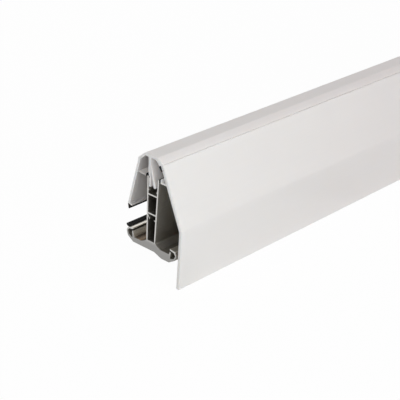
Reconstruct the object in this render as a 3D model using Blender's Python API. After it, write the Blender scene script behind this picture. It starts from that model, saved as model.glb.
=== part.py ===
"""Verge glazing bar: the bar along the side edge of a lean-to roof of plastic sheet.

An aluminium base bar stands on the rafter and carries the sheet on a gasket. A white
cap with a forked stem pushes down into the slot in the top of the bar's web and holds
the sheet from above. A white fascia panel laps over the cap's edge and hides the outer
side. Black rubber seals close the gaps beside the web and behind the lap.

Every piece has one cross section along the whole bar. A section point is a pair
(out, up) in millimetres: out runs towards the fascia (-Y), up is +Z, and the bar runs
along X. The origin is in the middle of the length, on the flat underside, below the web.
"""

import math

import bmesh
import bpy

MM = 0.001

# The whole bar
LENGTH = 600.0              # cut length
CLEARANCE = 0.35            # gap between two pieces that touch in the real bar
CORNER_STEPS = 4            # flats in each rounded corner

# Base bar: web
WEB_FOOT_WIDTH = 10.5       # over both walls, where they meet the flange
WEB_TOP_WIDTH = 13.5        # over both walls, at the top of the slot
WEB_WALL = 1.4
WEB_FOOT = 7.8              # height of the foot above the underside
WEB_TOP = 68.5
WEB_FLOOR = 8.8             # top of the floor inside the web
LOWER_CROSSWALL = 34.4      # middle of the wall above the screw port
CROSSWALL = 1.3             # thickness of the crosswalls
SLOT_DEPTH = 15.75          # from the web's top edge down to the slot's floor
TOOTH_DROP = 11.1           # from the web's top edge down to the catch teeth
TOOTH_HEIGHT = 1.9
TOOTH_DEPTH = 1.0

# Base bar: screw port under the lower crosswall
PORT_WIDTH = 4.3
PORT_DROP = 4.4             # from the crosswall's underside down to the fins' tips
PORT_FIN = 1.2              # thickness of its fins
PORT_FIN_ROOT = 0.8         # from the crosswall's underside down to the sloping fin's root

# Base bar: flange
FLANGE_TOP = 4.8
COVE_END = 11.5             # where the cove beside the web meets the flange
UNDERSIDE_FRONT = 4.5       # the flat underside ends here on the fascia side
STEP_END = 13.0             # the underside is down at its lower level from here
FRONT_DROP = 3.0            # how much lower the fascia side lies

# Base bar: drain channel along each edge (distances in from the edge, heights)
BACK_REACH = 29.2           # centre line to the edge on the sheet side
FRONT_REACH = 30.3          # centre line to the edge on the fascia side
CHANNEL_BOTTOM_IN = 8.4
CHANNEL_SHOULDER = (1.8, 4.1)
CHANNEL_BELLY = 8.6
LIP_CORNER = (1.7, 12.4)
LIP_TIP = (7.6, 13.3)
LIP = 1.3                   # thickness of lip and outer wall
INNER_LIP_TOP_IN = 6.6
INNER_LIP_FOOT_IN = 8.6
INNER_LIP_GAP = 1.9         # height between the inner lip and the lip above it
INNER_LIP = 1.2
CHANNEL_FLOOR = 3.7

# Gasket on the sheet side's lip
GASKET_OVERHANG = 0.7       # how far its tip stands out past the channel
GASKET_RISE = 2.7           # height of its tip above the lip
GASKET_WIDTH = 3.7          # how far it covers the lip from the edge
GASKET_BACK = 0.8           # thickness at its inner end

# Cap
CAP_WALL = 2.3
CROWN_RISE = 19.4           # from the web's top edge up to the flat top
CROWN_BACK = -10.9          # back end of the flat top
CROWN_FRONT = 3.5           # front end of the flat top
EAVES_OUT = 7.6             # corner over the leg, beyond the flat top's back end
EAVES_DROP = 6.9
EAVES_OVERHANG = 0.45
SHOULDER_OUT = 7.2          # corner above the seam, beyond the flat top's front end
SHOULDER_DROP = 3.6
LEG_FOOT_IN = 0.7           # the leg's foot stands in from the base bar's edge
SHEET_GAP = 15.2            # height between the two gaskets that grip the sheet
FOOT_WIDTH = 4.9            # inward foot that the gasket is bonded to
FOOT_THICKNESS = 1.5
FOOT_FALL = 1.2             # the foot's inner end lies this much lower
STEM_ROOT = -4.8            # middle of the stem where it leaves the crown
STEM_ROOT_WIDTH = 2.7
STEM_BEND_DROP = 5.5        # from the crown's underside down to where the front leg splays
STEM_FORK_DROP = 9.5        # and down to where the two legs part
STEM_LEG = 2.0              # thickness of the straight back leg
STEM_BULB = 2.9             # width of the front leg's rounded tip
STEM_BULB_GAP = 1.5         # between that tip and the slot's wall
STEM_DEPTH = 9.5            # how far the stem reaches into the slot

# Seam where the fascia's top edge laps over the cap
SEAM_DROP = 1.2             # the fascia's top edge lies this far below the cap's corner
SEAM_OUT = 0.2              # and this far out from it
LAP_LEAF = 1.6              # thickness of the fascia's outer leaf
LAP_DEPTH = 4.2             # height of that leaf
SEAM_SEAL_TOP = 2.1         # width of the wedge-shaped seal under the cap's soffit
SEAM_SEAL_TIP = 1.1         # and at its lower end
SEAM_SEAL_LENGTH = 4.8

# Fascia
FASCIA_WALL = 3.1
FASCIA_GAP = 1.8            # between the upright panel and the base bar
KNEE = 30.2                 # height where the slanted panel meets the upright one
FASCIA_BOTTOM = -24.4
SHELF_DROP = 1.1            # from the web's top edge down to the shelf's top
SHELF = 1.4
SHELF_GAP = 1.7             # between the web and the shelf's end
SHELF_LIP = 1.2             # thickness of the upturned lip along that end
SHELF_LIP_RISE = 1.6        # from the web's top edge up to the lip's top
LEDGE_DROP = 0.1            # from the web's top edge down to the cap's own shelf, its ledge
LEDGE = 0.9
LEDGE_GAP = 2.0             # between the web and the ledge's end
SEAL_FOOT_DROP = 0.8        # the seals of both start this far below their tops
SHELF_SEAL_RISE = 0.8       # from the web's top edge up to the head of the shelf's seal
LEDGE_SEAL_RISE = 1.7       # and up to the head of the ledge's seal

# Gasket under the cap's foot
CAP_GASKET_DEPTH = 3.6
CAP_GASKET_TIP = 0.42       # place of its tip, as a share of the foot's width

# Corner radii
CAP_RADIUS = 0.9
SHOULDER_FILLET = 6.0       # inside the crown, above the tongue
EDGE_RADIUS = 0.4
KNEE_RADIUS = 8.0
CHANNEL_RADIUS = 2.2
LIP_RADIUS = 0.5

# Heights and corners that follow from these
SLOT_FLOOR = WEB_TOP - SLOT_DEPTH
TOOTH_TOP = WEB_TOP - TOOTH_DROP
STEM_TIP = WEB_TOP - STEM_DEPTH
SHELF_TOP = WEB_TOP - SHELF_DROP
LEDGE_TOP = WEB_TOP - LEDGE_DROP
CROWN_TOP = WEB_TOP + CROWN_RISE
EAVES = (CROWN_BACK - EAVES_OUT, CROWN_TOP - EAVES_DROP)
SHOULDER_END = (CROWN_FRONT + SHOULDER_OUT, CROWN_TOP - SHOULDER_DROP)
FASCIA_TOP = (SHOULDER_END[0] + SEAM_OUT, SHOULDER_END[1] - SEAM_DROP)
FASCIA_KNEE = (FRONT_REACH + FASCIA_GAP + FASCIA_WALL, KNEE)


# ---------------------------------------------------------------- section geometry

def along(start, direction, distance):
    """The point at a distance from start in a direction."""
    return (start[0] + direction[0] * distance, start[1] + direction[1] * distance)


def unit(start, end):
    """The direction from start to end."""
    out, up = end[0] - start[0], end[1] - start[1]
    length = math.hypot(out, up)
    return (out / length, up / length)


def at_height(start, direction, up):
    """The point where a line reaches a height."""
    return along(start, direction, (up - start[1]) / direction[1])


def meet(start_a, direction_a, start_b, direction_b):
    """The point where two lines cross."""
    out, up = start_b[0] - start_a[0], start_b[1] - start_a[1]
    cross = direction_a[0] * direction_b[1] - direction_a[1] * direction_b[0]
    return along(start_a, direction_a, (out * direction_b[1] - up * direction_b[0]) / cross)


def right_of(direction):
    """The direction a quarter turn clockwise."""
    return (direction[1], -direction[0])


def rounded(corners):
    """An outline from (point, radius) corners, each round one as a run of short flats."""
    outline = []
    for index, (corner, radius) in enumerate(corners):
        before = unit(corner, corners[index - 1][0])
        after = unit(corner, corners[(index + 1) % len(corners)][0])
        if radius == 0.0:
            outline.append(corner)
            continue
        half_angle = math.acos(before[0] * after[0] + before[1] * after[1]) / 2
        middle = unit((0.0, 0.0), (before[0] + after[0], before[1] + after[1]))
        centre = along(corner, middle, radius / math.sin(half_angle))
        start = along(corner, before, radius / math.tan(half_angle))
        end = along(corner, after, radius / math.tan(half_angle))
        first = math.atan2(start[1] - centre[1], start[0] - centre[0])
        last = math.atan2(end[1] - centre[1], end[0] - centre[0])
        sweep = math.remainder(last - first, 2 * math.pi)
        for step in range(CORNER_STEPS + 1):
            angle = first + sweep * step / CORNER_STEPS
            outline.append(along(centre, (math.cos(angle), math.sin(angle)), radius))
    return outline


def extruded(name, outline, holes, material):
    """A bar of the whole length with this section, hollow where the holes are."""
    mesh = bmesh.new()
    start = -LENGTH / 2 * MM
    edges = []
    for loop in [outline] + holes:
        corners = [mesh.verts.new((start, -out * MM, up * MM)) for out, up in loop]
        for index, corner in enumerate(corners):
            edges.append(mesh.edges.new((corners[index - 1], corner)))
    bmesh.ops.triangle_fill(mesh, use_beauty=True, edges=edges)
    section = bmesh.ops.extrude_face_region(mesh, geom=mesh.faces[:])
    far_end = [item for item in section["geom"] if isinstance(item, bmesh.types.BMVert)]
    bmesh.ops.translate(mesh, verts=far_end, vec=(LENGTH * MM, 0.0, 0.0))
    bmesh.ops.recalc_face_normals(mesh, faces=mesh.faces[:])
    data = bpy.data.meshes.new(name)
    mesh.to_mesh(data)
    mesh.free()
    data.materials.append(material)
    data.shade_smooth()
    data.set_sharp_from_angle(angle=math.radians(25))
    piece = bpy.data.objects.new(name, data)
    bpy.context.scene.collection.objects.link(piece)
    return piece


def make_material(name, colour, roughness, metallic):
    """A plain material of one colour."""
    material = bpy.data.materials.new(name)
    material.use_nodes = True
    shader = material.node_tree.nodes["Principled BSDF"]
    shader.inputs["Base Color"].default_value = (*colour, 1.0)
    shader.inputs["Roughness"].default_value = roughness
    shader.inputs["Metallic"].default_value = metallic
    return material


# ---------------------------------------------------------------- base bar

def web_face(up):
    """Distance of the web's outer faces from the centre line at a height."""
    taper = (WEB_TOP_WIDTH - WEB_FOOT_WIDTH) / 2
    return WEB_FOOT_WIDTH / 2 + taper * (up - WEB_FOOT) / (WEB_TOP - WEB_FOOT)


def web_inside(up):
    """Distance of the web's inner faces from the centre line at a height."""
    return web_face(up) - WEB_WALL


def edge_channel(reach, drop):
    """Outer corners of a drain channel, from the underside round to the flange's top.

    The points are for the fascia side; the sheet side mirrors them.
    """
    def place(inward, up):
        return (reach - inward, up - drop)

    lip_under = along(LIP_TIP, right_of(unit(LIP_CORNER, LIP_TIP)), LIP)
    lip_end = (INNER_LIP_TOP_IN, LIP_TIP[1] - LIP - INNER_LIP_GAP)
    inner_along = unit((INNER_LIP_FOOT_IN, CHANNEL_FLOOR), lip_end)
    inner_top = along(lip_end, right_of(inner_along), INNER_LIP)
    flange_foot = at_height(inner_top, inner_along, FLANGE_TOP + drop)
    return [
        (place(CHANNEL_BOTTOM_IN, 0.0), CHANNEL_RADIUS),
        (place(*CHANNEL_SHOULDER), CHANNEL_RADIUS),
        (place(0.0, CHANNEL_BELLY), CHANNEL_RADIUS),
        (place(*LIP_CORNER), LIP_RADIUS),
        (place(*LIP_TIP), 0.0),
        (place(*lip_under), 0.0),
        (place(LIP_CORNER[0] + LIP, LIP_CORNER[1] - LIP), LIP_RADIUS),
        (place(LIP, CHANNEL_BELLY), LIP_RADIUS),
        (place(CHANNEL_SHOULDER[0] + LIP, CHANNEL_SHOULDER[1] + LIP), LIP_RADIUS),
        (place(INNER_LIP_FOOT_IN - LIP, CHANNEL_FLOOR), LIP_RADIUS),
        (place(*lip_end), 0.0),
        (place(*inner_top), 0.0),
        (place(*flange_foot), LIP_RADIUS),
    ]


def mirrored(corners):
    """The same corners on the sheet side, in the order that goes on round the outline."""
    return [((-out, up), radius) for (out, up), radius in reversed(corners)]


def web_side():
    """Fascia side of the web: cove, outer face, top edge and the slot with its tooth."""
    tooth_foot = TOOTH_TOP - TOOTH_HEIGHT
    return [
        ((COVE_END, FLANGE_TOP), CHANNEL_RADIUS),
        ((web_face(WEB_FOOT), WEB_FOOT), CHANNEL_RADIUS),
        ((web_face(WEB_TOP), WEB_TOP), 0.0),
        ((web_inside(WEB_TOP), WEB_TOP), 0.0),
        ((web_inside(TOOTH_TOP), TOOTH_TOP), 0.0),
        ((web_inside(tooth_foot) - TOOTH_DEPTH, tooth_foot), 0.0),
        ((web_inside(tooth_foot), tooth_foot), 0.0),
        ((web_inside(SLOT_FLOOR), SLOT_FLOOR), 0.0),
    ]


def upper_chamber():
    """Hollow between the two crosswalls."""
    bottom = LOWER_CROSSWALL + CROSSWALL / 2
    top = SLOT_FLOOR - CROSSWALL
    return [
        (-web_inside(bottom), bottom), (web_inside(bottom), bottom),
        (web_inside(top), top), (-web_inside(top), top),
    ]


def lower_chamber():
    """Hollow above the floor, with the fins of the screw port under the crosswall."""
    top = LOWER_CROSSWALL - CROSSWALL / 2
    half_port = PORT_WIDTH / 2
    tip = top - PORT_DROP
    nib_low = tip - PORT_FIN / 2
    nib_high = tip + PORT_FIN / 2
    fin_high = top - PORT_FIN_ROOT
    fin_low = fin_high - PORT_FIN
    return [
        (-web_inside(WEB_FLOOR), WEB_FLOOR), (web_inside(WEB_FLOOR), WEB_FLOOR),
        (web_inside(nib_low), nib_low), (half_port, tip),
        (web_inside(nib_high), nib_high),
        (web_inside(top), top), (-web_inside(top), top),
        (-web_inside(fin_high), fin_high), (-half_port, nib_high),
        (-half_port, nib_low), (-web_inside(fin_low), fin_low),
    ]


def make_base_bar(material):
    """The aluminium bar: flange with two drain channels, and the hollow web on it."""
    underside = [
        ((UNDERSIDE_FRONT, 0.0), 0.0),
        ((STEP_END, -FRONT_DROP), CHANNEL_RADIUS),
    ]
    corners = underside + edge_channel(FRONT_REACH, FRONT_DROP) + web_side()
    corners += mirrored(web_side()) + mirrored(edge_channel(BACK_REACH, 0.0))
    return extruded("base_bar", rounded(corners), [upper_chamber(), lower_chamber()], material)


def make_base_gasket(material):
    """Rubber strip on the sheet side's lip, with a tip that stands up and out."""
    slope = unit(LIP_CORNER, LIP_TIP)
    seat = along(LIP_CORNER, right_of(slope), -CLEARANCE)
    inner = along(seat, slope, GASKET_WIDTH - LIP_CORNER[0])
    inner_top = along(inner, right_of(slope), -GASKET_BACK)
    tip = (-GASKET_OVERHANG, LIP_CORNER[1] + GASKET_RISE)
    root = (LIP_CORNER[0] / 4, seat[1] + CLEARANCE)
    outline = rounded([
        (tip, EDGE_RADIUS / 2), (root, EDGE_RADIUS), (seat, 0.0),
        (inner, 0.0), (inner_top, EDGE_RADIUS),
    ])
    placed = [(inward - BACK_REACH, up) for inward, up in outline]
    return extruded("base_gasket", placed, [], material)


# ---------------------------------------------------------------- cap and fascia

SLANT_UP = unit(FASCIA_KNEE, FASCIA_TOP)           # up along the slanted panel
SLANT_IN = (-SLANT_UP[1], SLANT_UP[0])             # square to it, into the bar


def panel_point(inward, down):
    """A point near the seam, from the outer top corner of the slanted panel."""
    return along(along(FASCIA_TOP, SLANT_IN, inward), SLANT_UP, -down)


def foot_line():
    """Start and direction of the underside of the cap's foot."""
    base_gasket_tip = LIP_CORNER[1] + GASKET_RISE
    height = base_gasket_tip + SHEET_GAP + CAP_GASKET_DEPTH + CLEARANCE
    foot = (LEG_FOOT_IN - BACK_REACH, height + FOOT_FALL * CAP_GASKET_TIP)
    return foot, unit((0.0, 0.0), (FOOT_WIDTH, -FOOT_FALL))


def stem():
    """The forked stem, from its fascia side round both legs to its sheet side."""
    front = STEM_ROOT + STEM_ROOT_WIDTH / 2
    back = STEM_ROOT - STEM_ROOT_WIDTH / 2
    underside = CROWN_TOP - CAP_WALL
    bulb = web_inside(STEM_TIP) - STEM_BULB_GAP
    wall = CLEARANCE - web_inside(STEM_TIP)
    wall_top = CLEARANCE - web_inside(WEB_TOP)
    return [
        ((front, underside), CAP_RADIUS),
        ((front, underside - STEM_BEND_DROP), CAP_RADIUS),
        ((bulb, STEM_TIP), STEM_BULB * 0.4),
        ((bulb - STEM_BULB, STEM_TIP), STEM_BULB * 0.4),
        ((front, underside - STEM_FORK_DROP), 0.0),
        ((wall + STEM_LEG, STEM_TIP), EDGE_RADIUS),
        ((wall, STEM_TIP), EDGE_RADIUS),
        ((wall_top, WEB_TOP), 0.0),
        ((back, WEB_TOP + STEM_LEG * 2), 0.0),
        ((back, underside), CAP_RADIUS),
    ]


def make_cap(material):
    """The cap: sheet-side leg with its foot and shelf, crown, forked stem and lapped edge."""
    foot, foot_along = foot_line()
    foot_end = along(foot, foot_along, FOOT_WIDTH)
    foot_top = along(foot, right_of(foot_along), -FOOT_THICKNESS)
    leg_head = (EAVES[0] + EAVES_OVERHANG, EAVES[1] - EAVES_OVERHANG)
    leg_up = unit(foot, leg_head)
    leg_inside = along(foot, right_of(leg_up), CAP_WALL)
    crown_back = (CROWN_BACK, CROWN_TOP)
    crown_front = (CROWN_FRONT, CROWN_TOP)
    underside = (0.0, CROWN_TOP - CAP_WALL)
    level = (1.0, 0.0)
    eaves_up = unit(EAVES, crown_back)
    eaves_inside = along(EAVES, right_of(eaves_up), CAP_WALL)
    shoulder_down = unit(crown_front, SHOULDER_END)
    soffit = panel_point(0.0, -CLEARANCE)
    soffit_end = panel_point(FASCIA_WALL + CLEARANCE + SEAM_SEAL_TOP, -CLEARANCE)
    leaf_outer = LAP_LEAF + CLEARANCE
    leaf_end = LAP_DEPTH - CLEARANCE
    ledge_end = -web_face(LEDGE_TOP) - LEDGE_GAP
    ledge_foot = LEDGE_TOP - LEDGE
    corners = [
        (foot, EDGE_RADIUS),
        (leg_head, 0.0),
        ((EAVES[0], leg_head[1]), 0.0),
        (EAVES, EDGE_RADIUS),
        (crown_back, CAP_RADIUS),
        (crown_front, CAP_RADIUS),
        (SHOULDER_END, EDGE_RADIUS / 2),
        (meet(SHOULDER_END, right_of(shoulder_down), soffit, SLANT_IN), 0.0),
        (panel_point(leaf_outer, -CLEARANCE), 0.0),
        (panel_point(leaf_outer, leaf_end), EDGE_RADIUS / 2),
        (panel_point(FASCIA_WALL, leaf_end), 0.0),
        (panel_point(FASCIA_WALL, -CLEARANCE), 0.0),
        (soffit_end, EDGE_RADIUS / 2),
        (meet(soffit_end, SLANT_UP, underside, level), SHOULDER_FILLET),
    ]
    corners += stem()
    corners += [
        (meet(eaves_inside, eaves_up, underside, level), CAP_RADIUS),
        (meet(eaves_inside, eaves_up, leg_inside, leg_up), CAP_RADIUS),
        (at_height(leg_inside, leg_up, LEDGE_TOP), EDGE_RADIUS),
        ((ledge_end, LEDGE_TOP), EDGE_RADIUS / 2),
        ((ledge_end, ledge_foot), EDGE_RADIUS / 2),
        (at_height(leg_inside, leg_up, ledge_foot), EDGE_RADIUS),
        (meet(leg_inside, leg_up, foot_top, foot_along), CAP_RADIUS),
        (along(foot_end, right_of(foot_along), -FOOT_THICKNESS), EDGE_RADIUS),
        (foot_end, EDGE_RADIUS),
    ]
    return extruded("cap", rounded(corners), [], material)


def make_cap_gasket(material):
    """Rubber bead under the cap's foot, pointed where it presses on the sheet."""
    foot, foot_along = foot_line()
    down = right_of(foot_along)
    outer = along(foot, down, CLEARANCE)
    inner = along(outer, foot_along, FOOT_WIDTH)
    tip = along(along(outer, foot_along, FOOT_WIDTH * CAP_GASKET_TIP), down, CAP_GASKET_DEPTH)
    outline = rounded([(outer, 0.0), (tip, EDGE_RADIUS), (inner, EDGE_RADIUS / 2)])
    return extruded("cap_gasket", outline, [], material)


def make_fascia(material):
    """The panel that hides the outer side: lapped top, slanted and upright faces, shelf."""
    inside = along(FASCIA_KNEE, SLANT_IN, FASCIA_WALL)
    face = FASCIA_KNEE[0]
    inner_face = (face - FASCIA_WALL, KNEE)
    shelf_foot = SHELF_TOP - SHELF
    shelf_end = web_face(SHELF_TOP) + SHELF_GAP
    lip_top = WEB_TOP + SHELF_LIP_RISE
    corners = [
        (panel_point(0.0, 0.0), EDGE_RADIUS / 2),
        (panel_point(LAP_LEAF, 0.0), EDGE_RADIUS / 2),
        (panel_point(LAP_LEAF, LAP_DEPTH), 0.0),
        (panel_point(FASCIA_WALL, LAP_DEPTH), EDGE_RADIUS / 2),
        (at_height(inside, SLANT_UP, SHELF_TOP), EDGE_RADIUS),
        ((shelf_end + SHELF_LIP, SHELF_TOP), EDGE_RADIUS),
        ((shelf_end + SHELF_LIP, lip_top), EDGE_RADIUS),
        ((shelf_end, lip_top), EDGE_RADIUS),
        ((shelf_end, shelf_foot), EDGE_RADIUS),
        (at_height(inside, SLANT_UP, shelf_foot), EDGE_RADIUS),
        (meet(inside, SLANT_UP, inner_face, (0.0, 1.0)), KNEE_RADIUS - FASCIA_WALL),
        ((inner_face[0], FASCIA_BOTTOM), EDGE_RADIUS),
        ((face, FASCIA_BOTTOM), EDGE_RADIUS),
        (FASCIA_KNEE, KNEE_RADIUS),
    ]
    return extruded("fascia", rounded(corners), [], material)


# ---------------------------------------------------------------- seals under the cap

def make_seam_seal(material):
    """Rubber wedge under the cap's soffit, behind the lap."""
    face = FASCIA_WALL + CLEARANCE
    outline = rounded([
        (panel_point(face, 0.0), EDGE_RADIUS / 2),
        (panel_point(face + SEAM_SEAL_TOP, 0.0), EDGE_RADIUS / 2),
        (panel_point(face + SEAM_SEAL_TIP, SEAM_SEAL_LENGTH), EDGE_RADIUS / 2),
        (panel_point(face, SEAM_SEAL_LENGTH), EDGE_RADIUS / 2),
    ])
    return extruded("seam_seal", outline, [], material)


def make_shelf_seal(name, side, shelf_top, gap, rise, material):
    """Rubber bead between the web and the end of the shelf or the ledge."""
    near = web_face(WEB_TOP) + CLEARANCE
    far = web_face(shelf_top) + gap - CLEARANCE
    foot = shelf_top - SEAL_FOOT_DROP
    head = WEB_TOP + rise
    outline = rounded([
        ((side * near, foot), EDGE_RADIUS / 2), ((side * far, foot), EDGE_RADIUS / 2),
        ((side * far, head), EDGE_RADIUS), ((side * near, head), EDGE_RADIUS),
    ])
    return extruded(name, outline, [], material)


# ---------------------------------------------------------------- the whole bar

def remove_everything():
    """Start from an empty scene."""
    for item in list(bpy.data.objects):
        bpy.data.objects.remove(item, do_unlink=True)


def main():
    """Build the bar."""
    remove_everything()
    aluminium = make_material("aluminium", (0.42, 0.41, 0.39), 0.38, 1.0)
    white_pvc = make_material("white_pvc", (0.80, 0.79, 0.77), 0.42, 0.0)
    black_rubber = make_material("black_rubber", (0.012, 0.012, 0.012), 0.6, 0.0)

    make_base_bar(aluminium)
    make_base_gasket(black_rubber)

    lift = bpy.data.objects.new("cap_lift", None)
    lift.location = (0.0, 0.0, WEB_TOP * MM)
    bpy.context.scene.collection.objects.link(lift)
    bpy.context.view_layer.update()
    pieces = [
        make_cap(white_pvc),
        make_cap_gasket(black_rubber),
        make_fascia(white_pvc),
        make_seam_seal(black_rubber),
        make_shelf_seal("ledge_seal", -1, LEDGE_TOP, LEDGE_GAP, LEDGE_SEAL_RISE, black_rubber),
        make_shelf_seal("shelf_seal", 1, SHELF_TOP, SHELF_GAP, SHELF_SEAL_RISE, black_rubber),
    ]
    for piece in pieces:
        piece.parent = lift
        piece.matrix_parent_inverse = lift.matrix_world.inverted()


main()
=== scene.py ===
"""Finish of the verge glazing bar: rounded edges, plastic, mill-finish metal, rubber, stage.

The bar runs along X with its near end at -X. The sheet side is +Y, the fascia side is -Y,
and +Z is up. Sizes are in metres.
"""

import math

import bmesh
import bpy
from bpy.props import FloatProperty, FloatVectorProperty, PointerProperty
from mathutils import Matrix, Vector


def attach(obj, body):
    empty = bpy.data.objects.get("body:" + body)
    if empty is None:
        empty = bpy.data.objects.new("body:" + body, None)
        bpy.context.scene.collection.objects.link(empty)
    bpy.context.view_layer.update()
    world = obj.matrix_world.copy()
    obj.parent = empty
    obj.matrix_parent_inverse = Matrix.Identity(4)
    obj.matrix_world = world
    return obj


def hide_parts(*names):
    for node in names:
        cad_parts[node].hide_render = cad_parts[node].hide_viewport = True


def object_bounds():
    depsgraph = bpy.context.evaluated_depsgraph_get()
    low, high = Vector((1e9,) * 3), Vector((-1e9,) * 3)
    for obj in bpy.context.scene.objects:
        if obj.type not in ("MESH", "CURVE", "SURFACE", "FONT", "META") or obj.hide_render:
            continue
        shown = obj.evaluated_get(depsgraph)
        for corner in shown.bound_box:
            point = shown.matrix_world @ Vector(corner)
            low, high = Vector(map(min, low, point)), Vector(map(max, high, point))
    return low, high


bl_info = {
    "name": "Verge Glazing Bar",
    "version": (1, 0, 0),
    "blender": (4, 5, 0),
    "location": "3D View > Sidebar > Glazing Bar",
    "description": "Finishes the packed glazing bar and sets it on a plain stage",
    "category": "Object",
}

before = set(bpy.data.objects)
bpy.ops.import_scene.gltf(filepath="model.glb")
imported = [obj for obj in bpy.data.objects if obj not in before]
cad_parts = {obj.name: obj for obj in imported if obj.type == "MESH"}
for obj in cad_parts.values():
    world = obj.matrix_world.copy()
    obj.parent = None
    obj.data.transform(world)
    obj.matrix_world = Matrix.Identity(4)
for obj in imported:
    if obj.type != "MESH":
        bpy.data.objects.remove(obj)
CAD_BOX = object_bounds()

BAR_START, BAR_END = CAD_BOX[0][0], CAD_BOX[1][0]
FLOOR_HEIGHT = CAD_BOX[0][2]

# Limits for telling points and faces apart
MERGE_DISTANCE = 1e-6
FLAT_ANGLE = math.radians(0.5)      # faces that turn less than this are one flat face
SHARP_ANGLE = math.radians(28)      # edges that turn more than this are rounded
EDGE_SEGMENTS = 2
END_FACE_DEPTH = 5e-5               # a point this close to the bar's ends is on the sawn face

# Base bar
FRONT_DROP = 0.003                  # how much lower the fascia side's channel lies
LIP_START = 0.0213                  # the lips lie at least this far from the middle
LIP_HEIGHT = 0.0119                 # and their upper faces above this height
WEB_HEIGHTS = (0.0078, 0.0685)      # foot and top of the web
WEB_MIDDLE = (0.00455, 0.00605)     # centre line to the middle of its walls at those heights

# Cap and fascia
LEG_SIDE_START = 0.004              # the cap's hollow on the sheet side starts here
LEDGE_MIDDLE = 0.06795              # height of the cap's ledge
LEDGE_HALF = 0.0007                 # half of its thickness, with a little to spare
LEDGE_ROOT = 0.0183                 # where it leaves the leg
CORNER_RADIUS = 2e-4                # radius of the CAD's corner at the seam
CORNER_SIZE = 2.2e-4                # points nearer than this to both its faces are on it
BEAD_CORNER = 3e-4                  # the bead's inner corner takes up this width
BEAD_TIP = 4e-4                     # and its tip this height


# ---------------------------------------------------------------- settings

def length_setting(name, description, default):
    """A property for a small size in metres."""
    return FloatProperty(name=name, description=description, default=default,
                         min=0.0, precision=5, unit="LENGTH")


def colour_setting(name, description, default):
    """A property for a colour in linear light."""
    return FloatVectorProperty(name=name, description=description, default=default,
                               size=3, min=0.0, max=1.0, subtype="COLOR")


def share_setting(name, description, default):
    """A property for a share from 0 to 1."""
    return FloatProperty(name=name, description=description, default=default,
                         min=0.0, max=1.0, subtype="FACTOR")


class GLAZINGBAR_PG_plastic(bpy.types.PropertyGroup):
    """White plastic of the cap and the fascia."""

    cap_colour: colour_setting("Cap", "Colour of the cap", (0.79, 0.765, 0.75))
    fascia_colour: colour_setting("Fascia", "Colour of the fascia", (0.79, 0.78, 0.765))
    cut_colour: colour_setting("Sawn end", "Colour of the sawn ends", (0.95, 0.945, 0.93))
    warmth: colour_setting("Warmth", "Warm drift of the colour at the far end", (1.0, 0.95, 0.96))
    # Painted shade: faces inside the leg that turn inwards or down are painted darker, down to
    # this level
    leg_shade: share_setting("Leg shade", "Level of the greyed faces inside the leg", 0.66)
    # Painted shade: the ledge's sawn end is painted darker, down to this level
    ledge_shade: share_setting("Ledge", "Level of the greyed sawn end of the ledge", 0.5)
    roughness: share_setting("Roughness", "Roughness of the extruded skin", 0.42)
    glow: share_setting("Glow", "Share of light that passes under the surface", 0.5)
    glow_depth: length_setting("Glow depth", "How far that light spreads", 0.0015)
    edge: length_setting("Edge", "Width of the rounded edges", 0.00018)
    seam_rise: length_setting("Seam rise", "How far the seam is closed", 0.0003)
    seam_depth: length_setting("Seam depth", "How far the eased edge falls back", 0.0008)
    seam_height: length_setting("Seam height", "Height of the eased edge", 0.0028)


class GLAZINGBAR_PG_metal(bpy.types.PropertyGroup):
    """Mill-finish aluminium of the base bar."""

    colour: colour_setting("Metal", "Colour of the drawn surface", (0.35, 0.335, 0.305))
    cut_colour: colour_setting("Sawn end", "Colour of the sawn ends", (0.62, 0.61, 0.59))
    # Painted shade: the trough is mixed towards this darker, browner colour
    trough_shade_colour: colour_setting("Trough shade", "Colour of the painted shade in the trough", (0.30, 0.22, 0.15))
    # Painted shade: the faces in the web's chambers and slot are painted darker, down to this
    # level
    web_shade: share_setting("Web level", "How bright the inside of the web is", 0.8)
    # Painted highlight: the upper faces of the lips are painted brighter by this factor
    lip_highlight: FloatProperty(name="Lip highlight", default=2.1, min=0.0,
                             description="How much brighter the painted highlight makes the lips")
    roughness: share_setting("Roughness", "Roughness of the drawn surface", 0.36)
    edge: length_setting("Edge", "Width of the broken edges", 0.00012)


class GLAZINGBAR_PG_rubber(bpy.types.PropertyGroup):
    """Black rubber of the gaskets and seals."""

    colour: colour_setting("Rubber", "Colour of the rubber", (0.009, 0.009, 0.009))
    dust_colour: colour_setting("Dust", "Colour where dust lies", (0.022, 0.021, 0.02))
    roughness: share_setting("Roughness", "Roughness of the rubber", 0.7)
    rib_pitch: length_setting("Rib pitch", "Distance from one rib to the next", 0.00062)
    rib_height: length_setting("Rib height", "Height of the ribs", 0.00014)
    bead_drop: length_setting("Bead tip", "How far the soft bead's tip hangs down", 0.0008)
    bead_side: length_setting("Bead side", "Height of the soft bead's inner side", 0.0011)
    swell: length_setting("Swell", "How far the shelf's seal is pressed outwards", 0.0003)
    edge: length_setting("Edge", "Width of the rounded edges", 0.00006)


class GLAZINGBAR_PG_stage(bpy.types.PropertyGroup):
    """Floor, sky and camera."""

    floor_colour: colour_setting("Floor", "Colour of the floor", (0.9, 0.9, 0.9))
    sky: share_setting("Sky", "Level of the light from all round", 0.2)
    camera_lens: FloatProperty(name="Lens", description="Focal length in millimetres",
                               default=110.8, min=1.0, unit="CAMERA")


# ---------------------------------------------------------------- modelling helpers

def select_only(piece):
    """Make a piece the only selected and the active one."""
    bpy.ops.object.select_all(action="DESELECT")
    piece.select_set(True)
    bpy.context.view_layer.objects.active = piece


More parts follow.
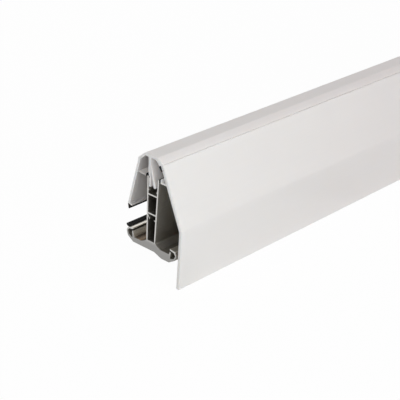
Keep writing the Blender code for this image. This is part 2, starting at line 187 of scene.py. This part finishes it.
def copy_of(node, name):
    """A loose copy of a CAD node, with its triangles joined into flat faces."""
    piece = bpy.data.objects.new(name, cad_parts[node].data.copy())
    bpy.context.scene.collection.objects.link(piece)
    piece.data.materials.clear()
    select_only(piece)
    bpy.ops.object.mode_set(mode="EDIT")
    bpy.ops.mesh.select_all(action="SELECT")
    bpy.ops.mesh.customdata_custom_splitnormals_clear()
    bpy.ops.mesh.remove_doubles(threshold=MERGE_DISTANCE)
    bpy.ops.mesh.dissolve_limited(angle_limit=FLAT_ANGLE)
    bpy.ops.object.mode_set(mode="OBJECT")
    return piece


def round_edges(piece, width):
    """Round every sharp edge, drop empty faces and shade the piece smooth."""
    select_only(piece)
    bevel = piece.modifiers.new("edges", "BEVEL")
    bevel.width = width
    bevel.segments = EDGE_SEGMENTS
    bevel.limit_method = "ANGLE"
    bevel.angle_limit = SHARP_ANGLE
    bevel.harden_normals = False
    bpy.ops.object.modifier_apply(modifier=bevel.name)
    bpy.ops.object.mode_set(mode="EDIT")
    bpy.ops.mesh.select_all(action="SELECT")
    bpy.ops.mesh.dissolve_degenerate(threshold=MERGE_DISTANCE)
    bpy.ops.object.mode_set(mode="OBJECT")
    bpy.ops.object.shade_smooth_by_angle(angle=SHARP_ANGLE)


def soften_seam(piece, settings):
    """Ease the top edge of the slanted face back and close most of the seam above it."""
    select_only(piece)
    bpy.ops.object.mode_set(mode="EDIT")
    mesh = bmesh.from_edit_mesh(piece.data)
    slanted = [face for face in mesh.faces if face.normal.z > 0.2 and face.normal.y < -0.5]
    panel = max(slanted, key=lambda face: face.calc_area())
    outward = panel.normal.copy()
    up = Vector((1.0, 0.0, 0.0)).cross(outward)
    up = up if up.z > 0.0 else -up
    face_level = max(vertex.co.dot(outward) for vertex in panel.verts)
    top_level = max(vertex.co.dot(up) for vertex in mesh.verts)
    for vertex in mesh.verts:
        down = top_level - vertex.co.dot(up)
        inward = face_level - vertex.co.dot(outward)
        if down > CORNER_SIZE:
            continue
        shift = settings.seam_rise
        if inward < CORNER_SIZE:
            share_down = min(1.0, down / CORNER_RADIUS)
            share_inward = min(1.0, inward / CORNER_RADIUS)
            shift -= share_down * (settings.seam_height - down)
            vertex.co -= outward * (share_inward * settings.seam_depth - inward)
        vertex.co += up * shift
    bmesh.update_edit_mesh(piece.data)
    bpy.ops.object.mode_set(mode="OBJECT")


def rib_face(piece, settings):
    """Raise fine ribs along a strip's widest face."""
    select_only(piece)
    bpy.ops.object.mode_set(mode="EDIT")
    mesh = bmesh.from_edit_mesh(piece.data)
    long_faces = [face for face in mesh.faces
                  if len(face.verts) == 4 and abs(face.normal.x) < 0.5]
    widest = max(long_faces, key=lambda face: face.calc_area())
    outward = widest.normal.copy()
    across = [edge for edge in widest.edges
              if abs(edge.verts[0].co.x - edge.verts[1].co.x) < MERGE_DISTANCE]
    start, end = (vertex.co.copy() for vertex in across[0].verts)
    width = (end - start).length
    steps = 2 * int(width / settings.rib_pitch)
    bmesh.ops.subdivide_edges(mesh, edges=across, cuts=steps - 1, use_grid_fill=True)
    level = start.dot(outward)
    for vertex in mesh.verts:
        step = (vertex.co - start).dot(end - start) / width ** 2 * steps
        on_face = abs(vertex.co.dot(outward) - level) < MERGE_DISTANCE
        if on_face and round(step) % 2 == 1:
            vertex.co += outward * settings.rib_height
    bmesh.update_edit_mesh(piece.data)
    bpy.ops.object.mode_set(mode="OBJECT")


def fill_bead(piece, settings):
    """Lower the soft bead at its tip and along its inner edge."""
    points = [vertex.co for vertex in piece.data.vertices]
    tip = min(point.z for point in points)
    inner = min(point.y for point in points) + BEAD_CORNER
    seat = max(point.z for point in points if point.y < inner)
    for point in points:
        if point.y < inner and point.z < seat - MERGE_DISTANCE:
            point.z -= settings.bead_side
        elif point.z < tip + BEAD_TIP:
            point.z -= settings.bead_drop


def swell(piece, amount):
    """Press a seal's section outwards, until it fills the gap that it sits in."""
    points = [vertex.co for vertex in piece.data.vertices]
    for axis in (1, 2):
        values = [point[axis] for point in points]
        middle = (min(values) + max(values)) / 2
        for point in points:
            point[axis] += math.copysign(amount, point[axis] - middle)


def dress(piece, node, body, material):
    """Give a finished copy its material and its body, and hide the CAD node that it stands for."""
    piece.data.materials.clear()
    piece.data.materials.append(material)
    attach(piece, body)
    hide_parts(node)


# ---------------------------------------------------------------- material helpers

WAVE_LENGTH = 0.314                 # length of one wave of the wave texture at scale 1
SAW_OFFSET = (0.0, -0.16, 0.10)     # moves the middle of the saw's arcs off the bar
SAW_WANDER = 0.6                    # how unevenly the arcs run
TURNED_IN = -0.3                    # a face of the leg looks inwards below this normal Y
TURNED_DOWN = -0.5                  # and downwards below this normal Z

class Shading:
    """A material and its node tree, with short calls for what the finishes share."""

    def __init__(self, name):
        self.material = bpy.data.materials.new(name)
        self.material.use_nodes = True
        self.nodes = self.material.node_tree.nodes
        self.links = self.material.node_tree.links
        self.shader = self.nodes["Principled BSDF"]
        coordinates = self.add("ShaderNodeTexCoord")
        self.place = coordinates.outputs["Object"]
        self.facing = coordinates.outputs["Normal"]

    def add(self, kind, **settings):
        """A new node with some of its settings changed."""
        node = self.nodes.new(kind)
        for setting, value in settings.items():
            setattr(node, setting, value)
        return node

    def feed(self, value, socket):
        """Link an output to a socket, or set the socket to a plain value."""
        if isinstance(value, bpy.types.NodeSocket):
            self.links.new(value, socket)
        else:
            socket.default_value = value

    def maths(self, operation, first, second=0.0):
        """One step of arithmetic on two values or outputs."""
        node = self.add("ShaderNodeMath", operation=operation)
        self.feed(first, node.inputs[0])
        self.feed(second, node.inputs[1])
        return node.outputs[0]

    def stretched(self, scale):
        """Object coordinates stretched by a scale for each axis."""
        mapping = self.add("ShaderNodeMapping")
        self.links.new(self.place, mapping.inputs["Vector"])
        mapping.inputs["Scale"].default_value = scale
        return mapping.outputs["Vector"]

    def noise(self, scale, detail=2.0):
        """Soft noise from 0 to 1 with a scale for each axis."""
        node = self.add("ShaderNodeTexNoise")
        self.links.new(self.stretched(scale), node.inputs["Vector"])
        node.inputs["Scale"].default_value = 1.0
        node.inputs["Detail"].default_value = detail
        return node.outputs["Fac"]

    def spread(self, value, low, high, start=0.0, end=1.0):
        """A value between start and end, moved to between low and high."""
        node = self.add("ShaderNodeMapRange")
        self.feed(value, node.inputs["Value"])
        node.inputs["From Min"].default_value = start
        node.inputs["From Max"].default_value = end
        node.inputs["To Min"].default_value = low
        node.inputs["To Max"].default_value = high
        return node.outputs["Result"]

    def mixed(self, share, first, second):
        """A mix of two colours."""
        node = self.add("ShaderNodeMix", data_type="RGBA")
        self.feed(share, node.inputs["Factor"])
        for socket, colour in ((node.inputs[6], first), (node.inputs[7], second)):
            if not isinstance(colour, bpy.types.NodeSocket):
                colour = (*colour, 1.0)
            self.feed(colour, socket)
        return node.outputs[2]

    def tinted(self, colour, value):
        """A colour made lighter or darker by a value near 1."""
        node = self.add("ShaderNodeVectorMath", operation="SCALE")
        if not isinstance(colour, bpy.types.NodeSocket):
            colour = tuple(colour)
        self.feed(colour, node.inputs[0])
        self.feed(value, node.inputs["Scale"])
        return node.outputs["Vector"]

    def axis(self, name):
        """One of the three coordinates."""
        parts = self.add("ShaderNodeSeparateXYZ")
        self.links.new(self.place, parts.inputs[0])
        return parts.outputs[name]

    def on_sawn_end(self):
        """1 on the faces at the bar's two ends and 0 elsewhere."""
        distance = self.maths("ABSOLUTE", self.axis("X"))
        return self.maths("GREATER_THAN", distance, BAR_END - END_FACE_DEPTH)

    def height_on_channel(self):
        """Height, counted for the channel on the fascia side as for the other one."""
        lowered = self.maths("LESS_THAN", self.axis("Y"), -LIP_START)
        return self.maths("ADD", self.axis("Z"), self.maths("MULTIPLY", lowered, FRONT_DROP))

    def on_lips(self):
        """1 on the upper faces of the base bar's two edge lips and 0 elsewhere."""
        across = self.maths("ABSOLUTE", self.axis("Y"))
        return self.maths("MULTIPLY", self.maths("GREATER_THAN", across, LIP_START),
                          self.maths("GREATER_THAN", self.height_on_channel(), LIP_HEIGHT))

    def inside_web(self):
        """1 on the faces of the web's chambers and slot and 0 elsewhere."""
        half_width = self.spread(self.axis("Z"), *WEB_MIDDLE, *WEB_HEIGHTS)
        distance = self.maths("ABSOLUTE", self.axis("Y"))
        return self.maths("LESS_THAN", distance, half_width)

    def on_inside_of_leg(self):
        """1 on the faces in the cap's hollow on the sheet side that get painted shade, and 0
        elsewhere.
        """
        parts = self.add("ShaderNodeSeparateXYZ")
        self.links.new(self.facing, parts.inputs[0])
        turned = self.maths("MAXIMUM", self.maths("LESS_THAN", parts.outputs["Y"], TURNED_IN),
                            self.maths("LESS_THAN", parts.outputs["Z"], TURNED_DOWN))
        return self.maths("MULTIPLY", turned,
                          self.maths("GREATER_THAN", self.axis("Y"), LEG_SIDE_START))

    def on_ledge(self):
        """1 across the cap's ledge beside the web and 0 elsewhere."""
        distance = self.maths("ABSOLUTE", self.maths("SUBTRACT", self.axis("Z"), LEDGE_MIDDLE))
        beside = self.maths("MULTIPLY", self.maths("GREATER_THAN", self.axis("Y"), LEG_SIDE_START),
                            self.maths("LESS_THAN", self.axis("Y"), LEDGE_ROOT))
        return self.maths("MULTIPLY", beside, self.maths("LESS_THAN", distance, LEDGE_HALF))

    def saw_marks(self, pitch):
        """Fine arcs that a saw blade leaves across an end, from 0 to 1."""
        rings = self.add("ShaderNodeTexWave", wave_type="RINGS", rings_direction="X")
        mapping = self.add("ShaderNodeMapping")
        self.links.new(self.place, mapping.inputs["Vector"])
        mapping.inputs["Location"].default_value = SAW_OFFSET
        self.links.new(mapping.outputs["Vector"], rings.inputs["Vector"])
        rings.inputs["Scale"].default_value = WAVE_LENGTH / pitch
        rings.inputs["Distortion"].default_value = SAW_WANDER
        return rings.outputs["Fac"]

    def bump(self, height, distance, strength):
        """Fine relief from a height between 0 and 1."""
        node = self.add("ShaderNodeBump")
        self.links.new(height, node.inputs["Height"])
        node.inputs["Distance"].default_value = distance
        node.inputs["Strength"].default_value = strength
        self.links.new(node.outputs["Normal"], self.shader.inputs["Normal"])


# ---------------------------------------------------------------- finishes

# Scales of the grain along the bar, across it and upwards
PLASTIC_STREAKS = (2.0, 900.0, 900.0)
PLASTIC_CLOUD = (14.0, 30.0, 30.0)
PLASTIC_PORES = (2500.0, 2500.0, 2500.0)
METAL_LINES = (1.5, 1400.0, 1400.0)
METAL_BANDS = (1.0, 160.0, 160.0)
METAL_CLOUD = (20.0, 60.0, 60.0)
RUBBER_LINES = (6.0, 1800.0, 1800.0)
RUBBER_DUST = (260.0, 500.0, 500.0)
GRAIN_DEPTH = 2e-5                  # of the die's lines in plastic and metal
RUBBER_GRAIN_DEPTH = 3e-5
PLASTIC_SAW_PITCH = 3e-4
METAL_SAW_PITCH = 3.5e-4

# Painted shade in the base bar's trough, from the web to the sheet side's channel
TROUGH_NEAR = (0.0065, 0.009)       # across the bar: the painted shade grows here
TROUGH_FAR = (0.018, 0.0215)        # and fades here
TROUGH_HEIGHTS = (0.008, 0.013)     # and it fades upwards here

# Sawn end of the base bar: the flange is darker than the lips and the web
CUT_SHADE = 0.54
CUT_SHADE_HEIGHTS = (0.006, 0.0125)


def white_plastic(name, colour, settings):
    """Extruded white plastic: faint streaks from the die, soft mottling, matt sawn ends, painted
    shade inside the leg and on the ledge's sawn end.
    """
    shading = Shading(name)
    sawn = shading.on_sawn_end()
    streaks = shading.noise(PLASTIC_STREAKS, detail=3.0)
    cloud = shading.noise(PLASTIC_CLOUD)
    pores = shading.noise(PLASTIC_PORES, detail=1.0)
    level = shading.maths("ADD", shading.spread(streaks, -0.012, 0.012),
                          shading.spread(cloud, 0.985, 1.015))
    warm = [channel * share for channel, share in zip(colour, settings.warmth)]
    drift = shading.spread(shading.axis("X"), 0.0, 1.0, BAR_START, BAR_END)
    # Painted shade on the faces inside the leg that turn inwards or down
    painted_leg_shade = shading.spread(shading.on_inside_of_leg(), 1.0, settings.leg_shade)
    skin = shading.tinted(shading.mixed(drift, tuple(colour), tuple(warm)),
                          shading.maths("MULTIPLY", level, painted_leg_shade))
    marks = shading.spread(shading.saw_marks(PLASTIC_SAW_PITCH), 0.97, 1.0)
    # Painted shade on the ledge's sawn end
    cut_level = shading.maths("MULTIPLY", marks,
                              shading.spread(shading.on_ledge(), 1.0, settings.ledge_shade))
    cut = shading.tinted(settings.cut_colour, cut_level)
    shading.links.new(shading.mixed(sawn, skin, cut), shading.shader.inputs["Base Color"])
    rough = shading.maths("ADD", shading.spread(streaks, -0.04, 0.04), settings.roughness)
    rough = shading.maths("ADD", rough, shading.maths("MULTIPLY", sawn, 0.2))
    shading.links.new(rough, shading.shader.inputs["Roughness"])
    shading.shader.inputs["IOR"].default_value = 1.5
    shading.shader.inputs["Subsurface Weight"].default_value = settings.glow
    shading.shader.inputs["Subsurface Radius"].default_value = (1.0, 0.9, 0.8)
    shading.shader.inputs["Subsurface Scale"].default_value = settings.glow_depth
    grain = shading.maths("ADD", streaks, shading.maths("MULTIPLY", pores, 0.5))
    shading.bump(grain, GRAIN_DEPTH, 0.5)
    return shading.material


def mill_aluminium(settings):
    """Extruded aluminium: long die lines, dull patches, bright sawn ends, a painted highlight on
    the lips, painted shade in the web and the trough.
    """
    shading = Shading("mill_aluminium")
    sawn = shading.on_sawn_end()
    lines = shading.noise(METAL_LINES, detail=4.0)
    bands = shading.noise(METAL_BANDS, detail=1.0)
    cloud = shading.noise(METAL_CLOUD)
    level = shading.maths("ADD", shading.spread(lines, 0.88, 1.08),
                          shading.spread(bands, -0.08, 0.08))
    # Painted highlight on the upper faces of the lips
    level = shading.maths("MULTIPLY", level,
                          shading.spread(shading.on_lips(), 1.0, settings.lip_highlight))
    # Painted shade in the web's chambers and slot
    level = shading.maths("MULTIPLY", level,
                          shading.spread(shading.inside_web(), 1.0, settings.web_shade))
    # Painted shade: the trough is darkened and browned towards its floor and the web, in uneven
    # bands
    across = shading.axis("Y")
    trough = shading.maths("MULTIPLY", shading.spread(across, 0.0, 1.0, *TROUGH_NEAR),
                           shading.spread(shading.axis("Z"), 1.0, 0.0, *TROUGH_HEIGHTS))
    trough = shading.maths("MULTIPLY", trough, shading.spread(across, 1.0, 0.0, *TROUGH_FAR))
    trough_shade = shading.maths("MULTIPLY", trough, shading.spread(bands, 0.2, 1.4))
    skin = shading.tinted(shading.mixed(trough_shade, tuple(settings.colour),
                                        tuple(settings.trough_shade_colour)), level)
    marks = shading.spread(shading.saw_marks(METAL_SAW_PITCH), 0.94, 1.03)
    shade = shading.spread(shading.height_on_channel(), CUT_SHADE, 1.0, *CUT_SHADE_HEIGHTS)
    cut_level = shading.maths("MULTIPLY", marks, shade)
    cut = shading.tinted(settings.cut_colour, cut_level)
    shading.links.new(shading.mixed(sawn, skin, cut), shading.shader.inputs["Base Color"])
    shading.shader.inputs["Metallic"].default_value = 1.0
    rough = shading.maths("ADD", shading.spread(cloud, -0.06, 0.06), settings.roughness)
    rough = shading.maths("ADD", rough, shading.spread(lines, -0.05, 0.05))
    rough = shading.maths("ADD", rough, shading.maths("MULTIPLY", sawn, 0.18))
    shading.links.new(rough, shading.shader.inputs["Roughness"])
    drawn = shading.maths("SUBTRACT", 1.0, sawn)
    shading.bump(shading.maths("MULTIPLY", lines, drawn), GRAIN_DEPTH, 0.6)
    return shading.material


def black_rubber(settings):
    """Extruded rubber: fine lines along it, a little dust, matt sawn ends."""
    shading = Shading("gasket_rubber")
    sawn = shading.on_sawn_end()
    lines = shading.noise(RUBBER_LINES)
    dust = shading.noise(RUBBER_DUST, detail=3.0)
    skin = shading.mixed(shading.spread(dust, -0.2, 0.6), tuple(settings.colour),
                         tuple(settings.dust_colour))
    shading.links.new(skin, shading.shader.inputs["Base Color"])
    rough = shading.maths("ADD", shading.spread(lines, -0.06, 0.06), settings.roughness)
    rough = shading.maths("ADD", rough, shading.maths("MULTIPLY", sawn, 0.2))
    shading.links.new(rough, shading.shader.inputs["Roughness"])
    shading.shader.inputs["Specular IOR Level"].default_value = 0.2
    shading.bump(shading.maths("ADD", lines, dust), RUBBER_GRAIN_DEPTH, 0.6)
    return shading.material


# ---------------------------------------------------------------- pieces

RUBBER_NODES = {
    "base_gasket": "base",
    "cap_gasket": "cap_assembly",
    "seam_seal": "cap_assembly",
    "ledge_seal": "cap_assembly",
    "shelf_seal": "cap_assembly",
}


class GLAZINGBAR_OT_base(bpy.types.Operator):
    """Finish the aluminium base bar"""

    bl_idname = "glazing_bar.base"
    bl_label = "Base Bar"
    bl_options = {"REGISTER", "UNDO"}

    def execute(self, context):
        settings = context.scene.glazing_bar_metal
        piece = copy_of("base_bar", "base_bar_finished")
        round_edges(piece, settings.edge)
        dress(piece, "base_bar", "base", mill_aluminium(settings))
        return {"FINISHED"}


class GLAZINGBAR_OT_cap(bpy.types.Operator):
    """Finish the white cap"""

    bl_idname = "glazing_bar.cap"
    bl_label = "Cap"
    bl_options = {"REGISTER", "UNDO"}

    def execute(self, context):
        settings = context.scene.glazing_bar_plastic
        piece = copy_of("cap", "cap_finished")
        round_edges(piece, settings.edge)
        material = white_plastic("cap_plastic", settings.cap_colour, settings)
        dress(piece, "cap", "cap_assembly", material)
        return {"FINISHED"}


class GLAZINGBAR_OT_fascia(bpy.types.Operator):
    """Finish the white fascia panel"""

    bl_idname = "glazing_bar.fascia"
    bl_label = "Fascia"
    bl_options = {"REGISTER", "UNDO"}

    def execute(self, context):
        settings = context.scene.glazing_bar_plastic
        piece = copy_of("fascia", "fascia_finished")
        soften_seam(piece, settings)
        round_edges(piece, settings.edge)
        material = white_plastic("fascia_plastic", settings.fascia_colour, settings)
        dress(piece, "fascia", "cap_assembly", material)
        return {"FINISHED"}


class GLAZINGBAR_OT_gaskets(bpy.types.Operator):
    """Finish the rubber gaskets and seals"""

    bl_idname = "glazing_bar.gaskets"
    bl_label = "Gaskets and Seals"
    bl_options = {"REGISTER", "UNDO"}

    def execute(self, context):
        settings = context.scene.glazing_bar_rubber
        material = black_rubber(settings)
        for node, body in RUBBER_NODES.items():
            piece = copy_of(node, node + "_finished")
            if node == "base_gasket":
                rib_face(piece, settings)
            if node == "cap_gasket":
                fill_bead(piece, settings)
            if node == "shelf_seal":
                swell(piece, settings.swell)
            round_edges(piece, settings.edge)
            dress(piece, node, body, material)
        return {"FINISHED"}


# ---------------------------------------------------------------- stage

FLOOR_WHITE = 0.97          # share of plain white in the floor that the camera sees
FLOOR_SIZE = 40.0
FLOOR_GAP = 3e-4            # between the floor and the bar's lowest edge


def seen_directly(nodes, links):
    """1 for what the camera sees, also in a reflection or through a clear surface."""
    path = nodes.new("ShaderNodeLightPath")
    seen = path.outputs["Is Camera Ray"]
    for kind in ("Is Glossy Ray", "Is Transmission Ray"):
        either = nodes.new("ShaderNodeMath")
        either.operation = "MAXIMUM"
        links.new(seen, either.inputs[0])
        links.new(path.outputs[kind], either.inputs[1])
        seen = either.outputs[0]
    return seen


def floor_material(colour):
    """A floor that the camera sees as white, with the bar's shadow on it."""
    material = bpy.data.materials.new("floor")
    material.use_nodes = True
    nodes, links = material.node_tree.nodes, material.node_tree.links
    nodes.clear()
    output = nodes.new("ShaderNodeOutputMaterial")
    matt = nodes.new("ShaderNodeBsdfDiffuse")
    matt.inputs["Color"].default_value = (*colour, 1.0)
    white = nodes.new("ShaderNodeEmission")
    white.inputs["Color"].default_value = (1.0, 1.0, 1.0, 1.0)
    share = nodes.new("ShaderNodeMath")
    share.operation = "MULTIPLY"
    links.new(seen_directly(nodes, links), share.inputs[0])
    share.inputs[1].default_value = FLOOR_WHITE
    mix = nodes.new("ShaderNodeMixShader")
    links.new(share.outputs[0], mix.inputs["Fac"])
    links.new(matt.outputs["BSDF"], mix.inputs[1])
    links.new(white.outputs["Emission"], mix.inputs[2])
    links.new(mix.outputs["Shader"], output.inputs["Surface"])
    return material


def add_floor(settings):
    """A plain floor just under the bar's lowest edge."""
    bpy.ops.object.select_all(action="DESELECT")
    bpy.ops.mesh.primitive_plane_add(size=FLOOR_SIZE,
                                     location=(0.0, 0.0, FLOOR_HEIGHT - FLOOR_GAP))
    floor = bpy.context.object
    floor.name = "floor"
    bpy.ops.object.transform_apply(location=True, rotation=True, scale=True)
    floor.data.materials.append(floor_material(settings.floor_colour))


def add_sky(level):
    """White behind everything, and soft light from all round."""
    world = bpy.data.worlds.new("sky")
    bpy.context.scene.world = world
    world.use_nodes = True
    nodes, links = world.node_tree.nodes, world.node_tree.links
    background = nodes["Background"]
    background.inputs["Color"].default_value = (1.0, 1.0, 1.0, 1.0)
    strength = nodes.new("ShaderNodeMapRange")
    links.new(seen_directly(nodes, links), strength.inputs["Value"])
    strength.inputs["To Min"].default_value = level
    strength.inputs["To Max"].default_value = 1.0
    links.new(strength.outputs["Result"], background.inputs["Strength"])


LAMPS = (                   # name, place, power in watts
    ("front_lamp", (-0.5, -1.9, 0.45), 13.0),
    ("end_lamp", (-1.4, -0.9, 1.0), 9.0),
    ("top_lamp", (-0.1, -0.5, 1.9), 9.0),
    ("back_lamp", (0.3, 1.9, 0.5), 13.0),
)
LAMP_SIZE = 1.0
LAMP_TARGET = (-0.1, 0.0, 0.03)


def add_lamp(name, place, power):
    """A square soft lamp that points at the bar."""
    lamp = bpy.data.lights.new(name, "AREA")
    lamp.size = LAMP_SIZE
    lamp.energy = power
    holder = bpy.data.objects.new(name, lamp)
    bpy.context.scene.collection.objects.link(holder)
    holder.location = place
    direction = Vector(LAMP_TARGET) - Vector(place)
    holder.rotation_euler = direction.to_track_quat("-Z", "Y").to_euler()


CAMERA_PLACE = (-0.9763, -0.6365, 0.5032)
CAMERA_YAW = math.radians(40.8)     # from +X towards +Y
CAMERA_PITCH = math.radians(26.0)   # down
CAMERA_ROLL = math.radians(-3.45)
SENSOR_WIDTH = 36.0


def add_camera(lens):
    """The photograph's viewpoint, with the slight turn that its picture has."""
    camera = bpy.data.cameras.new("camera")
    camera.lens = lens
    camera.sensor_width = SENSOR_WIDTH
    holder = bpy.data.objects.new("camera", camera)
    bpy.context.scene.collection.objects.link(holder)
    yaw, pitch, roll = CAMERA_YAW, CAMERA_PITCH, CAMERA_ROLL
    forward = Vector((math.cos(yaw) * math.cos(pitch), math.sin(yaw) * math.cos(pitch),
                      -math.sin(pitch)))
    level = Vector((math.sin(yaw), -math.cos(yaw), 0.0))
    below = forward.cross(level)
    right = math.cos(roll) * level + math.sin(roll) * below
    down = math.cos(roll) * below - math.sin(roll) * level
    turn = Matrix((right, -down, -forward)).transposed()
    holder.matrix_world = Matrix.Translation(CAMERA_PLACE) @ turn.to_4x4()
    bpy.context.scene.camera = holder


class GLAZINGBAR_OT_stage(bpy.types.Operator):
    """Lay the floor, light the bar and place the camera"""

    bl_idname = "glazing_bar.stage"
    bl_label = "Stage"
    bl_options = {"REGISTER", "UNDO"}

    def execute(self, context):
        settings = context.scene.glazing_bar_stage
        add_floor(settings)
        add_sky(settings.sky)
        for name, place, power in LAMPS:
            add_lamp(name, place, power)
        add_camera(settings.camera_lens)
        context.scene.view_settings.view_transform = "Standard"
        return {"FINISHED"}


# ---------------------------------------------------------------- panel and registering

class GLAZINGBAR_PT_panel(bpy.types.Panel):
    """Sidebar panel with the bar's settings and pieces."""

    bl_idname = "GLAZINGBAR_PT_panel"
    bl_label = "Glazing Bar"
    bl_space_type = "VIEW_3D"
    bl_region_type = "UI"
    bl_category = "Glazing Bar"

    def draw(self, context):
        for operator in OPERATORS:
            self.layout.operator(operator.bl_idname)
        for setting_name in SETTINGS:
            group = getattr(context.scene, setting_name)
            box = self.layout.box()
            for setting in group.__annotations__:
                box.prop(group, setting)


OPERATORS = (
    GLAZINGBAR_OT_base,
    GLAZINGBAR_OT_cap,
    GLAZINGBAR_OT_fascia,
    GLAZINGBAR_OT_gaskets,
    GLAZINGBAR_OT_stage,
)
SETTINGS = {
    "glazing_bar_plastic": GLAZINGBAR_PG_plastic,
    "glazing_bar_metal": GLAZINGBAR_PG_metal,
    "glazing_bar_rubber": GLAZINGBAR_PG_rubber,
    "glazing_bar_stage": GLAZINGBAR_PG_stage,
}


def register():
    """Register the classes and hang the settings on the scene."""
    for group in SETTINGS.values():
        bpy.utils.register_class(group)
    for item in OPERATORS + (GLAZINGBAR_PT_panel,):
        bpy.utils.register_class(item)
    for setting_name, group in SETTINGS.items():
        setattr(bpy.types.Scene, setting_name, PointerProperty(type=group))


def unregister():
    """Take the settings and the classes away again."""
    for setting_name in SETTINGS:
        delattr(bpy.types.Scene, setting_name)
    for item in (GLAZINGBAR_PT_panel,) + OPERATORS[::-1]:
        bpy.utils.unregister_class(item)
    for group in SETTINGS.values():
        bpy.utils.unregister_class(group)


def main():
    """Make every piece and the stage."""
    register()
    bpy.ops.glazing_bar.base()
    bpy.ops.glazing_bar.cap()
    bpy.ops.glazing_bar.fascia()
    bpy.ops.glazing_bar.gaskets()
    bpy.ops.glazing_bar.stage()


if __name__ == "__main__":
    main()
